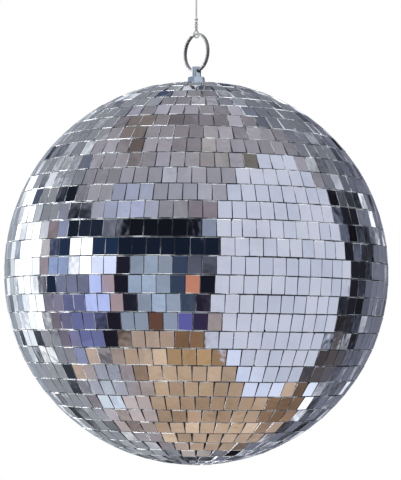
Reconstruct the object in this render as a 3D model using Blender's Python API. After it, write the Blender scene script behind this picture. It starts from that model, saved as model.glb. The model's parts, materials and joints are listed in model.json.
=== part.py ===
"""A mirror ball hung from a nylon line by a split ring and a cross-drilled pin.

Metres, +Z up. The origin is the inside top of the line's upper loop, where a hook carries the ball.
Heights in this file count from the ball's centre, and the pivots at the end put them in the frame.
"""

import math

import bmesh
import bpy
from mathutils import Vector

# Gap that neighbouring pieces keep, and the sides of round pieces
CLEARANCE = 0.0003
BALL_SIDES = 32
ROUND_SIDES = 24
KNOT_SIDES = 16

# Ball
BALL_DIAMETER = 0.200           # over the mirror faces at the equator
STRIP_COUNT = 33                # equal steps of latitude between the two pole openings
MIRROR_THICKNESS = 0.0018
CROWN_START = math.radians(70)  # above this latitude the ball flattens towards its hanger
CROWN_DROP = 0.0015             # how far the flattening would lower the pole
CORE_WALL = 0.0022
CORE_OUTER_STEPS = 9
CORE_INNER_STEPS = 6
LAP_HEIGHT = 0.004              # tongue of the lower half inside the upper one
BOTTOM_MIRROR_RISE = 0.0001     # of the bottom mirror's face above the sphere's lowest point
GLUE_GAP = 0.0004               # between the mirrors' backs and the core

# Hanger, M5
PIN_DIAMETER = 0.005
PIN_CHAMFER = 0.0003
PIN_TAIL = 0.0065               # below the inner nut
HOLE_PLAY = 0.00027             # between the ring's wire and the wall of its cross hole
HOLE_LAND = 0.0007              # pin left above the cross hole
PIN_NECK = 0.00175              # between the top nut and the cross hole
HOLE_BEARING = math.radians(-52.3)
NUT_ACROSS_FLATS = 0.008
NUT_HEIGHT = 0.0045
TOP_NUT_TURN = math.radians(15)
TOP_WASHER_DIAMETER = 0.015
TOP_WASHER_THICKNESS = 0.0012
SEAT_MARGIN = 0.002             # flat of the core beyond the top washer's edge
POLE_MARGIN = 0.00146           # pole opening beyond the top washer's edge
INNER_PLATE_DIAMETER = 0.030
INNER_PLATE_THICKNESS = 0.0015
INNER_WASHER_DIAMETER = 0.010
INNER_WASHER_THICKNESS = 0.001

# Split ring
RING_DIAMETER = 0.0206          # outside
WIRE_WIDTH = 0.0011             # along the ring's radius
WIRE_DEPTH = 0.0008             # along the ring's axis, each coil
COIL_GAP = 0.00015
JOG_BEARING = math.radians(100)  # where the wire crosses from one coil to the other
JOG_SPAN = math.radians(30)
WIRE_STEP = math.radians(7.5)

# String
STRING_DIAMETER = 0.0009
LINE_LENGTH = 0.0308
TWIST_HEIGHT = 0.0038
TWIST_TURNS = 1.25
STRAND_GAP = 0.0001
TIE_NECK = 0.0026               # from the ring's wire up to the twist
STRAND_END = 0.0004             # straight end of each strand below its knot
TIE_KNOT_DIAMETER = 0.0019
TIE_KNOT_HEIGHT = 0.0015
TOP_KNOT_DIAMETER = 0.0026
TOP_KNOT_HEIGHT = 0.0024
LOOP_HEIGHT = 0.0095            # centreline of the upper loop, above its knot
LOOP_WIDTH = 0.0050
LINE_POINT_SPACING = 0.0022     # between the points of a string's route
TIE_POINT_SPACING = 0.00045
LOOP_POINT_SPACING = 0.0009

# Radii that follow
BALL_RADIUS = BALL_DIAMETER / 2
MIRROR_BACK = BALL_RADIUS - MIRROR_THICKNESS
CORE_RADIUS = MIRROR_BACK - GLUE_GAP
CORE_INSIDE = CORE_RADIUS - CORE_WALL
PIN_BORE = PIN_DIAMETER + 2 * CLEARANCE
SEAT_RADIUS = TOP_WASHER_DIAMETER / 2 + SEAT_MARGIN
RING_RADIUS = (RING_DIAMETER - WIRE_WIDTH) / 2
COIL_PITCH = WIRE_DEPTH + COIL_GAP
COILS_REACH = COIL_PITCH / 2 + WIRE_DEPTH / 2
WIRE_REACH = math.hypot(WIRE_WIDTH / 2, COILS_REACH)
WIRE_BOW = RING_RADIUS - math.sqrt(RING_RADIUS**2 - (PIN_DIAMETER / 2) ** 2)  # across the pin
HOLE_RADIUS = math.hypot(COILS_REACH, WIRE_WIDTH / 2 + WIRE_BOW) + HOLE_PLAY
TIE_RADIUS = WIRE_REACH + CLEARANCE + STRING_DIAMETER / 2
STRAND_OFFSET = (STRING_DIAMETER + STRAND_GAP) / 2

# Latitudes of the mirror strips
POLE_OPENING = math.acos((TOP_WASHER_DIAMETER / 2 + POLE_MARGIN) / BALL_RADIUS)
STRIP_STEP = 2 * POLE_OPENING / STRIP_COUNT
MIRROR_CORNER = BALL_RADIUS / math.cos(STRIP_STEP / 2)  # so that the flat faces touch the sphere


def crown_drop(latitude):
    """How far the ball's surface lies inside its sphere at a latitude."""
    if latitude <= CROWN_START:
        return 0.0
    rise = (latitude - CROWN_START) / (math.pi / 2 - CROWN_START)
    return CROWN_DROP * rise * rise


def on_ball(radius, latitude):
    """(distance from the axis, height) on the layer of the ball that has this radius at the equator."""
    reach = radius - crown_drop(latitude)
    return reach * math.cos(latitude), reach * math.sin(latitude)


# Heights above the ball's centre
SEAT_LATITUDE = math.acos(SEAT_RADIUS / CORE_RADIUS)
SEAT_HEIGHT = on_ball(CORE_RADIUS, SEAT_LATITUDE)[1]
TOP_WASHER_BASE = SEAT_HEIGHT + CLEARANCE
TOP_NUT_BASE = TOP_WASHER_BASE + TOP_WASHER_THICKNESS + CLEARANCE
HOLE_HEIGHT = TOP_NUT_BASE + NUT_HEIGHT + PIN_NECK + HOLE_RADIUS
PIN_TOP = HOLE_HEIGHT + HOLE_RADIUS + HOLE_LAND
CEILING_HEIGHT = SEAT_HEIGHT - CORE_WALL
INNER_PLATE_BASE = CEILING_HEIGHT - CLEARANCE - INNER_PLATE_THICKNESS
INNER_WASHER_BASE = INNER_PLATE_BASE - CLEARANCE - INNER_WASHER_THICKNESS
INNER_NUT_BASE = INNER_WASHER_BASE - CLEARANCE - NUT_HEIGHT
PIN_BASE = INNER_NUT_BASE - PIN_TAIL
RING_TOP = HOLE_HEIGHT + 2 * RING_RADIUS
TWIST_BASE = RING_TOP + TIE_NECK
TIE_KNOT_BASE = TWIST_BASE + TWIST_HEIGHT + STRAND_END + CLEARANCE
LINE_BASE = TIE_KNOT_BASE + TIE_KNOT_HEIGHT + CLEARANCE
TOP_KNOT_BASE = LINE_BASE + LINE_LENGTH + CLEARANCE
LOOP_BASE = TOP_KNOT_BASE + TOP_KNOT_HEIGHT + CLEARANCE
HOOK_HEIGHT = LOOP_BASE + LOOP_HEIGHT - STRING_DIAMETER / 2


def clear_scene():
    for thing in list(bpy.data.objects):
        bpy.data.objects.remove(thing, do_unlink=True)


def make_material(name, colour, roughness, metallic):
    material = bpy.data.materials.new(name)
    material.use_nodes = True
    shader = material.node_tree.nodes["Principled BSDF"]
    shader.inputs["Base Color"].default_value = (*colour, 1.0)
    shader.inputs["Roughness"].default_value = roughness
    shader.inputs["Metallic"].default_value = metallic
    material.diffuse_color = (*colour, 1.0)
    return material


def finish_mesh(name, shape):
    """Turns a bmesh into a mesh whose faces point out, smooth but for its sharp edges."""
    bmesh.ops.remove_doubles(shape, verts=shape.verts, dist=1e-6)
    bmesh.ops.recalc_face_normals(shape, faces=shape.faces)
    mesh = bpy.data.meshes.new(name)
    shape.to_mesh(mesh)
    shape.free()
    mesh.shade_smooth()
    mesh.set_sharp_from_angle(angle=math.radians(35))
    return mesh


def turned(name, profile, sides, closed=True):
    """A profile of (distance from the axis, height) spun about Z. An open one starts and ends on the axis."""
    shape = bmesh.new()
    corners = [shape.verts.new((across, 0.0, height)) for across, height in profile]
    ends = zip(corners, corners[1:] + corners[:1]) if closed else zip(corners, corners[1:])
    edges = [shape.edges.new(pair) for pair in ends]
    bmesh.ops.spin(
        shape,
        geom=corners + edges,
        cent=(0.0, 0.0, 0.0),
        axis=(0.0, 0.0, 1.0),
        angle=math.tau,
        steps=sides,
    )
    return finish_mesh(name, shape)


def add_part(name, mesh, material, parent, height=0.0, turn=0.0):
    """A sub-part with its own origin at a height above the ball's centre, carried by its pivot."""
    mesh.materials.append(material)
    part = bpy.data.objects.new(name, mesh)
    bpy.context.scene.collection.objects.link(part)
    part.parent = parent
    part.location = Vector((0.0, 0.0, height - HOOK_HEIGHT)) - parent.location
    part.rotation_euler.z = turn
    return part


def add_pivot(name, height):
    """An empty on a joint's axis."""
    pivot = bpy.data.objects.new(name, None)
    pivot.location.z = height - HOOK_HEIGHT
    bpy.context.scene.collection.objects.link(pivot)
    return pivot


def cut_away(part, cutter_mesh, height, tilt=0.0, turn=0.0):
    """Cuts a part with a hidden cylinder that has the part's own parent."""
    cutter = bpy.data.objects.new(part.name + "_cutter", cutter_mesh)
    bpy.context.scene.collection.objects.link(cutter)
    cutter.parent = part.parent
    cutter.location = Vector((0.0, 0.0, height - HOOK_HEIGHT)) - part.parent.location
    cutter.rotation_euler = (0.0, tilt, turn)
    cutter.hide_render = True
    cutter.display_type = "WIRE"
    cut = part.modifiers.new("cut", "BOOLEAN")
    cut.operation = "DIFFERENCE"
    cut.object = cutter


def cylinder_mesh(name, radius, length, sides):
    shape = bmesh.new()
    bmesh.ops.create_cone(
        shape, cap_ends=True, segments=sides, radius1=radius, radius2=radius, depth=length
    )
    return finish_mesh(name, shape)


# Ball

def strip_profile(number):
    """Section of mirror strip 1 (top) to STRIP_COUNT (bottom), with half the gap at each edge."""
    lower = POLE_OPENING - number * STRIP_STEP
    upper = lower + STRIP_STEP
    edge_gap = CLEARANCE / 2 / MIRROR_BACK
    section = []
    for radius, latitude, side in (
        (MIRROR_CORNER, upper, -1),
        (MIRROR_CORNER, lower, 1),
        (MIRROR_BACK, lower, 1),
        (MIRROR_BACK, upper, -1),
    ):
        section.append(on_ball(radius, latitude + side * edge_gap))
    return section


def add_mirror_rows(material, parent):
    for number in range(1, STRIP_COUNT + 1):
        name = f"mirror_row_{number:02d}"
        add_part(name, turned(name, strip_profile(number), BALL_SIDES), material, parent)


def add_bottom_mirror(material, parent):
    edge = on_ball(MIRROR_BACK, POLE_OPENING)[0] - CLEARANCE
    face = -BALL_RADIUS + BOTTOM_MIRROR_RISE
    back = face + MIRROR_THICKNESS
    profile = [(0.0, face), (edge, face), (edge, back), (0.0, back)]
    add_part(
        "bottom_mirror", turned("bottom_mirror", profile, BALL_SIDES, closed=False), material, parent
    )


def add_core(material, parent):
    """Two moulded halves with a lap joint at the equator, which the middle strip covers."""
    tongue_outside = CORE_RADIUS - CORE_WALL / 2
    tongue_inside = CORE_INSIDE
    half_gap = CLEARANCE / 2
    outer_arc = [SEAT_LATITUDE * step / CORE_OUTER_STEPS for step in range(CORE_OUTER_STEPS + 1)]
    ceiling_latitude = math.asin(CEILING_HEIGHT / CORE_INSIDE)

    lap_top = LAP_HEIGHT + CLEARANCE
    upper = [(CORE_RADIUS, half_gap)]
    upper += [on_ball(CORE_RADIUS, latitude) for latitude in outer_arc[1:]]
    upper += [(PIN_BORE / 2, SEAT_HEIGHT), (PIN_BORE / 2, CEILING_HEIGHT)]
    first_latitude = math.asin(lap_top / CORE_INSIDE)
    for step in range(CORE_INNER_STEPS, -1, -1):
        share = step / CORE_INNER_STEPS
        latitude = first_latitude + (ceiling_latitude - first_latitude) * share
        upper.append((CORE_INSIDE * math.cos(latitude), CORE_INSIDE * math.sin(latitude)))
    socket = tongue_outside + CLEARANCE
    upper += [(socket, lap_top), (socket, half_gap)]
    add_part("core_upper", turned("core_upper", upper, BALL_SIDES), material, parent)

    lower = [(0.0, -CORE_RADIUS)]
    for step in range(CORE_OUTER_STEPS - 1, 0, -1):
        latitude = math.pi / 2 * step / CORE_OUTER_STEPS
        lower.append((CORE_RADIUS * math.cos(latitude), -CORE_RADIUS * math.sin(latitude)))
    lower += [(CORE_RADIUS, -half_gap), (tongue_outside, -half_gap)]
    lower += [(tongue_outside, LAP_HEIGHT), (tongue_inside, LAP_HEIGHT), (tongue_inside, 0.0)]
    for step in range(1, CORE_INNER_STEPS):
        latitude = math.pi / 2 * step / CORE_INNER_STEPS
        lower.append((CORE_INSIDE * math.cos(latitude), -CORE_INSIDE * math.sin(latitude)))
    lower.append((0.0, -CORE_INSIDE))
    mesh = turned("core_lower", lower, BALL_SIDES, closed=False)
    add_part("core_lower", mesh, material, parent)


# Hanger

def washer_profile(diameter, thickness):
    return [
        (PIN_BORE / 2, 0.0),
        (diameter / 2, 0.0),
        (diameter / 2, thickness),
        (PIN_BORE / 2, thickness),
    ]


def add_washer(name, diameter, thickness, base, material, parent):
    mesh = turned(name, washer_profile(diameter, thickness), ROUND_SIDES)
    add_part(name, mesh, material, parent, height=base)


def add_nut(name, base, turn, material, parent):
    corner = NUT_ACROSS_FLATS / 2 / math.cos(math.pi / 6)
    middle = base + NUT_HEIGHT / 2
    blank = cylinder_mesh(name, corner, NUT_HEIGHT, 6)
    # Blender's six-sided cylinder has a corner on +Y, so this turns a corner to the bearing
    nut = add_part(name, blank, material, parent, height=middle, turn=turn - math.pi / 2)
    bore = cylinder_mesh(name + "_bore", PIN_BORE / 2, 2 * NUT_HEIGHT, ROUND_SIDES)
    cut_away(nut, bore, middle)


def add_pin(material, parent):
    radius = PIN_DIAMETER / 2
    profile = [
        (0.0, PIN_BASE),
        (radius - PIN_CHAMFER, PIN_BASE),
        (radius, PIN_BASE + PIN_CHAMFER),
        (radius, PIN_TOP - PIN_CHAMFER),
        (radius - PIN_CHAMFER, PIN_TOP),
        (0.0, PIN_TOP),
    ]
    pin = add_part(
        "hanging_pin", turned("hanging_pin", profile, ROUND_SIDES, closed=False), material, parent
    )
    drill = cylinder_mesh("hanging_pin_drill", HOLE_RADIUS, 2 * PIN_DIAMETER, ROUND_SIDES)
    cut_away(pin, drill, HOLE_HEIGHT, tilt=math.pi / 2, turn=HOLE_BEARING)


# Split ring

def smooth_step(share):
    share = min(max(share, 0.0), 1.0)
    return share * share * (3 - 2 * share)


def ring_mesh():
    """Two coils of flat wire side by side. Its origin is the middle of the wire at the ring's top."""
    start = JOG_BEARING + JOG_SPAN / 2
    end = start + 2 * math.tau - JOG_SPAN
    steps = math.ceil((end - start) / WIRE_STEP)
    jog_start = start + math.tau - JOG_SPAN
    shape = bmesh.new()
    sections = []
    for step in range(steps + 1):
        bearing = start + (end - start) * step / steps
        side = COIL_PITCH * (smooth_step((bearing - jog_start) / JOG_SPAN) - 0.5)
        section = []
        for out, along in ((-1, -1), (1, -1), (1, 1), (-1, 1)):
            radius = RING_RADIUS + out * WIRE_WIDTH / 2
            section.append(
                shape.verts.new(
                    (
                        radius * math.cos(bearing),
                        side + along * WIRE_DEPTH / 2,
                        radius * math.sin(bearing) - RING_RADIUS,
                    )
                )
            )
        sections.append(section)
    for one, two in zip(sections, sections[1:]):
        for corner in range(4):
            after = (corner + 1) % 4
            shape.faces.new((one[corner], one[after], two[after], two[corner]))
    shape.faces.new(sections[0])
    shape.faces.new(sections[-1])
    return finish_mesh("split_ring", shape)


# String

def smooth_route(points, spacing):
    """Points an even distance apart on a smooth curve through the route's own points."""
    ends = [2 * points[0] - points[1]] + points + [2 * points[-1] - points[-2]]
    fine = []
    for before, here, there, after in zip(ends, ends[1:], ends[2:], ends[3:]):
        for step in range(16):
            t = step / 16
            fine.append(
                0.5
                * (
                    2 * here
                    + (there - before) * t
                    + (2 * before - 5 * here + 4 * there - after) * t * t
                    + (3 * here - before - 3 * there + after) * t * t * t
                )
            )
    fine.append(points[-1])
    lengths = [0.0]
    for one, two in zip(fine, fine[1:]):
        lengths.append(lengths[-1] + (two - one).length)
    count = max(2, round(lengths[-1] / spacing))
    route = []
    place = 0
    for step in range(count + 1):
        target = lengths[-1] * step / count
        while place < len(fine) - 2 and lengths[place + 1] < target:
            place += 1
        span = lengths[place + 1] - lengths[place]
        route.append(fine[place].lerp(fine[place + 1], (target - lengths[place]) / span))
    return route


def add_string(name, points, spacing, material, parent, height, turn=0.0):
    curve = bpy.data.curves.new(name, "CURVE")
    curve.dimensions = "3D"
    curve.bevel_depth = STRING_DIAMETER / 2
    curve.bevel_resolution = 2
    curve.use_fill_caps = True
    route = smooth_route(points, spacing)
    spline = curve.splines.new("POLY")
    spline.points.add(len(route) - 1)
    for place, point in zip(spline.points, route):
        place.co = (*point, 1.0)
    add_part(name, curve, material, parent, height=height, turn=turn)


def line_route():
    return [Vector((0.0, 0.0, LINE_LENGTH * step / 4)) for step in range(5)]


def tie_route():
    """Down one strand of the twist, round the ring's wire and up the other, from the wire's middle."""
    strand = []
    for step in range(9):
        share = step / 8
        angle = math.tau * TWIST_TURNS * share
        strand.append(
            Vector(
                (
                    -STRAND_OFFSET * math.sin(angle),
                    STRAND_OFFSET * math.cos(angle),
                    TIE_NECK + TWIST_HEIGHT * share,
                )
            )
        )
    strand.append(strand[-1] + Vector((0.0, 0.0, STRAND_END)))
    bearings = [math.pi * step / 4 for step in range(5)]
    turns = [Vector((0.0, TIE_RADIUS * math.cos(a), -TIE_RADIUS * math.sin(a))) for a in bearings]
    shoulder = Vector((0.0, TIE_RADIUS * 0.78, TIE_NECK * 0.42))
    far_shoulder = Vector((0.0, -shoulder.y, shoulder.z))
    far_strand = [Vector((-point.x, -point.y, point.z)) for point in strand]
    return strand[::-1] + [shoulder] + turns + [far_shoulder] + far_strand


def loop_route():
    """Up one side of the upper loop and down the other, from the knot's top."""
    shares = (
        (0.24, 0.0),
        (0.25, 0.06),
        (0.62, 0.27),
        (0.96, 0.54),
        (0.90, 0.79),
        (0.50, 0.95),
        (0.0, 1.0),
    )
    rise = [Vector((-LOOP_WIDTH / 2 * across, 0.0, LOOP_HEIGHT * up)) for across, up in shares]
    fall = [Vector((-point.x, 0.0, point.z)) for point in rise[-2::-1]]
    return rise + fall


def add_knot(name, diameter, knot_height, base, material, parent):
    """A barrel with rounded ends."""
    profile = [(0.0, 0.0)]
    for step in range(5):
        angle = math.pi * (0.15 + 0.7 * step / 4)
        rise = (1 - math.cos(angle)) / 2
        profile.append((diameter / 2 * math.sin(angle), knot_height * rise))
    profile[1] = (profile[1][0], 0.0)
    profile[-1] = (profile[-1][0], knot_height)
    profile.append((0.0, knot_height))
    mesh = turned(name, profile, KNOT_SIDES, closed=False)
    add_part(name, mesh, material, parent, height=base)


def build():
    clear_scene()
    mirror = make_material("mirror", (0.82, 0.83, 0.85), 0.03, 1.0)
    plastic = make_material("core_plastic", (0.42, 0.43, 0.45), 0.55, 0.0)
    zinc = make_material("zinc_steel", (0.66, 0.70, 0.74), 0.28, 1.0)
    ring_steel = make_material("ring_steel", (0.52, 0.51, 0.48), 0.2, 1.0)
    nylon = make_material("nylon", (0.78, 0.78, 0.76), 0.35, 0.0)

    line_pivot = add_pivot("line_pivot", HOOK_HEIGHT)
    twist_pivot = add_pivot("twist_pivot", LINE_BASE)
    ring_pivot = add_pivot("ring_pivot", RING_TOP)
    ball_pivot = add_pivot("ball_pivot", HOLE_HEIGHT)

    add_mirror_rows(mirror, ball_pivot)
    add_bottom_mirror(mirror, ball_pivot)
    add_core(plastic, ball_pivot)
    add_pin(zinc, ball_pivot)
    add_nut("top_nut", TOP_NUT_BASE, TOP_NUT_TURN, zinc, ball_pivot)
    add_nut("inner_nut", INNER_NUT_BASE, 0.0, zinc, ball_pivot)
    add_washer(
        "top_washer", TOP_WASHER_DIAMETER, TOP_WASHER_THICKNESS, TOP_WASHER_BASE, zinc, ball_pivot
    )
    add_washer(
        "inner_washer",
        INNER_WASHER_DIAMETER,
        INNER_WASHER_THICKNESS,
        INNER_WASHER_BASE,
        zinc,
        ball_pivot,
    )
    add_washer(
        "inner_plate",
        INNER_PLATE_DIAMETER,
        INNER_PLATE_THICKNESS,
        INNER_PLATE_BASE,
        zinc,
        ball_pivot,
    )

    add_part("split_ring", ring_mesh(), ring_steel, ring_pivot, height=RING_TOP, turn=HOLE_BEARING)

    add_string(
        "string_tie",
        tie_route(),
        TIE_POINT_SPACING,
        nylon,
        twist_pivot,
        height=RING_TOP,
        turn=HOLE_BEARING,
    )
    add_knot("tie_knot", TIE_KNOT_DIAMETER, TIE_KNOT_HEIGHT, TIE_KNOT_BASE, nylon, twist_pivot)

    add_string("string_line", line_route(), LINE_POINT_SPACING, nylon, line_pivot, height=LINE_BASE)
    add_knot("top_knot", TOP_KNOT_DIAMETER, TOP_KNOT_HEIGHT, TOP_KNOT_BASE, nylon, line_pivot)
    add_string("top_loop", loop_route(), LOOP_POINT_SPACING, nylon, line_pivot, height=LOOP_BASE)


build()
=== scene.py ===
import json
import math
import random

import bmesh
import bpy
from mathutils import Matrix, Vector


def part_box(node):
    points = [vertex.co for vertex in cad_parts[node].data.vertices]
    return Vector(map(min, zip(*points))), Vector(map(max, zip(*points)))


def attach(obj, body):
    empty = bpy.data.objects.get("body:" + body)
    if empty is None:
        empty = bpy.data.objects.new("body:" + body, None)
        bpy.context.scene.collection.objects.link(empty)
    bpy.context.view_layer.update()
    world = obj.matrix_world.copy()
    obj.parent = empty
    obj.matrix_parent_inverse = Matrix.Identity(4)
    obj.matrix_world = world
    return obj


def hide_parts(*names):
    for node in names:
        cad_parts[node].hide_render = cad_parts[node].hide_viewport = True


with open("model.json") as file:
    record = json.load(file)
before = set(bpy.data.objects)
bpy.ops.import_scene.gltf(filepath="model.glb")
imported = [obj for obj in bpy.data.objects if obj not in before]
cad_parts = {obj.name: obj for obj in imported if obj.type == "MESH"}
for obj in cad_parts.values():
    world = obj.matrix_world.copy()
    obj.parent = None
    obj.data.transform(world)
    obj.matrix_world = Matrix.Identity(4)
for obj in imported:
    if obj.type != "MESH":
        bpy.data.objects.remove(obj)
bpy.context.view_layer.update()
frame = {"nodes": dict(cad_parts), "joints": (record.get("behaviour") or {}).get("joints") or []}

# ---------------------------------------------------------------- sizes, in metres

middle_low, middle_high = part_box("mirror_row_17")
BALL_RADIUS = middle_high.x
BALL_CENTRE = Vector((0.0, 0.0, (middle_low.z + middle_high.z) / 2))
STRIP_NODES = sorted(name for name in frame["nodes"] if name.startswith("mirror_row_"))
POLE_MARGIN = 0.00146               # from the top washer's rim to the first strip
POLE_OPENING = math.acos((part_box("top_washer")[1].x + POLE_MARGIN) / BALL_RADIUS)
STRIP_STEP = 2 * POLE_OPENING / len(STRIP_NODES)
CROWN_START = math.radians(70)      # above this latitude the ball is flatter than a sphere
CROWN_DROP = 0.0015
STRIP_LEAN = math.radians(0.64)     # the strips lie slightly askew of the pin

TILE_WIDTH = 0.00663
TILE_DEPTH = 0.00115
TILE_GAP = 0.00028
ROW_GAP = 0.00036
CLOTH_ROW_GAP = 0.0001              # between the fabric bands of neighbouring strips
SIDE_SEAM = 0.00006                 # ground edge at the sides of each tile's face
ROW_SEAM = 0.00017                  # and along its top and bottom
SEAM_DROP = 0.00012                 # how far the ground edges fall away from the face
HALF_TILE_LATITUDE = math.radians(73)   # tiles are half as wide above this latitude
GLUE_DEPTH = 0.00005
CLOTH_DEPTH = 0.00055               # from the tiles' backs to the fabric's inner side
JOINT_TILE_LEAST = 0.0022           # narrowest tile cut to close a strip
JOINT_GAP_LEAST = 0.0001            # gap left where a strip closes
JOINT_GAP_MOST = 0.0006

# how unevenly the tiles were laid by hand: scatter in metres, and in degrees for the turns
TILE_CUT_SCATTER = 0.00004
TILE_LIFT_SCATTER = 0.00003
TILE_TIP_SCATTER = 0.45             # leaning up and down
TILE_SWING_SCATTER = 0.45           # facing left and right
TILE_SKEW_SCATTER = 0.5             # turned in its own plane
STRIP_WAVE = 0.00006                # each strip wanders up and down by this much
STRIP_WAVE_TIP = 0.25
LOST_CORNERS = 0.035                # share of the tiles that have lost a corner

hinge_axis = next(joint["axis"] for joint in frame["joints"] if joint["name"] == "ball_swing")
HOLE_BEARING = math.atan2(hinge_axis[1], hinge_axis[0])
CROSS_HOLE_RADIUS = 0.0015
WASHER_BORE_RADIUS = 0.0027
NUT_HALF_FLATS = 0.004
RING_WIRE_WIDTH = 0.0011            # in the ring's plane
RING_WIRE_DEPTH = 0.00084           # along the ring's axis
RING_COIL_PITCH = 0.00090
STRING_RADIUS = 0.00045
WRAP_RADIUS = 0.00034               # of the string drawn tight round the tie

random.seed(20)


# ---------------------------------------------------------------- camera

def make_camera():
    """The ball's centre sits a little below and to the left of the middle of the picture."""
    distance = 9.76 * BALL_RADIUS
    elevation = math.radians(-2.0)
    lift = math.radians(0.999)
    swing = math.radians(0.129)
    data = bpy.data.cameras.new("camera")
    data.lens = 139.8
    data.clip_start = 0.01
    data.clip_end = 30.0
    camera = bpy.data.objects.new("camera", data)
    bpy.context.scene.collection.objects.link(camera)
    back = Vector((0.0, -math.cos(elevation), math.sin(elevation)))
    camera.location = BALL_CENTRE + back * distance
    camera.rotation_euler = (math.pi / 2 - elevation + lift, 0.0, -swing)
    bpy.context.scene.camera = camera


# ---------------------------------------------------------------- node helpers

def linear(red, green, blue):
    """A colour given as it looks on a screen, 0 to 1, as light."""
    return tuple(
        channel / 12.92 if channel <= 0.04045 else ((channel + 0.055) / 1.055) ** 2.4
        for channel in (red, green, blue)
    )


class Nodes:
    """Short calls for building a node tree."""

    def __init__(self, tree):
        self.tree = tree

    def add(self, kind, **settings):
        node = self.tree.nodes.new(kind)
        for name, value in settings.items():
            setattr(node, name, value)
        return node

    def link(self, source, target):
        self.tree.links.new(source, target)

    def feed(self, socket, value):
        if isinstance(value, bpy.types.NodeSocket):
            self.link(value, socket)
        else:
            socket.default_value = value

    def math(self, operation, one, two=0.0, clamp=False):
        node = self.add("ShaderNodeMath", operation=operation, use_clamp=clamp)
        self.feed(node.inputs[0], one)
        self.feed(node.inputs[1], two)
        return node.outputs[0]

    def dot(self, one, two):
        node = self.add("ShaderNodeVectorMath", operation="DOT_PRODUCT")
        self.feed(node.inputs[0], one)
        self.feed(node.inputs[1], two)
        return node.outputs["Value"]

    def from_zero(self, value):
        """A value between -1 and 1, brought to between 0 and 1."""
        halved = self.math("MULTIPLY_ADD", value, 0.5)
        halved.node.inputs[2].default_value = 0.5
        return halved

    def stretched(self, vector, height):
        """The vector with its height scaled, so that a texture is drawn out or pressed flat."""
        node = self.add("ShaderNodeMapping")
        node.inputs["Scale"].default_value = (1.0, 1.0, height)
        self.link(vector, node.inputs["Vector"])
        return node.outputs["Vector"]

    def noise(self, vector, scale, detail=2.0, roughness=0.5):
        node = self.add("ShaderNodeTexNoise")
        self.feed(node.inputs["Vector"], vector)
        node.inputs["Scale"].default_value = scale
        node.inputs["Detail"].default_value = detail
        node.inputs["Roughness"].default_value = roughness
        return node

    def ramp(self, value, stops):
        node = self.add("ShaderNodeValToRGB")
        self.feed(node.inputs["Fac"], value)
        elements = node.color_ramp.elements
        while len(elements) < len(stops):
            elements.new(0.5)
        for element, (place, colour) in zip(elements, stops):
            element.position = place
            element.color = (*colour, 1.0)
        return node.outputs["Color"]

    def mix(self, factor, one, two, blend="MIX"):
        node = self.add("ShaderNodeMix", data_type="RGBA", blend_type=blend)
        self.feed(node.inputs["Factor"], factor)
        sockets = [s for s in node.inputs if s.type == "RGBA"]
        for socket, value in zip(sockets, (one, two)):
            self.feed(socket, value if isinstance(value, bpy.types.NodeSocket) else (*value, 1.0))
        return next(s for s in node.outputs if s.type == "RGBA")

    def bump(self, height, distance):
        node = self.add("ShaderNodeBump")
        node.inputs["Strength"].default_value = 1.0
        node.inputs["Distance"].default_value = distance
        self.feed(node.inputs["Height"], height)
        return node.outputs["Normal"]


def new_material(name):
    """(material, its nodes, its shader, the piece's own coordinates)."""
    material = bpy.data.materials.new(name)
    material.use_nodes = True
    nodes = Nodes(material.node_tree)
    shader = material.node_tree.nodes["Principled BSDF"]
    place = nodes.add("ShaderNodeTexCoord").outputs["Object"]
    return material, nodes, shader, place


# ---------------------------------------------------------------- studio

def direction(azimuth, elevation):
    """Azimuth 0 points from the ball to the camera, and 90 to its right."""
    a, e = math.radians(azimuth), math.radians(elevation)
    return Vector((math.sin(a) * math.cos(e), -math.cos(a) * math.cos(e), math.sin(e)))


LEAST_AHEAD = 0.01                  # a direction that faces a card by less than this misses it
COLOUR_TRACE = (1e-7, 1e-7, 1e-7)
STREAK_ZONE_SOFTNESS = 8
ROOM_STRENGTH = 1.08
LIGHT_DISTANCE = 1.2                # of the side lights from the middle of the ball


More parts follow.
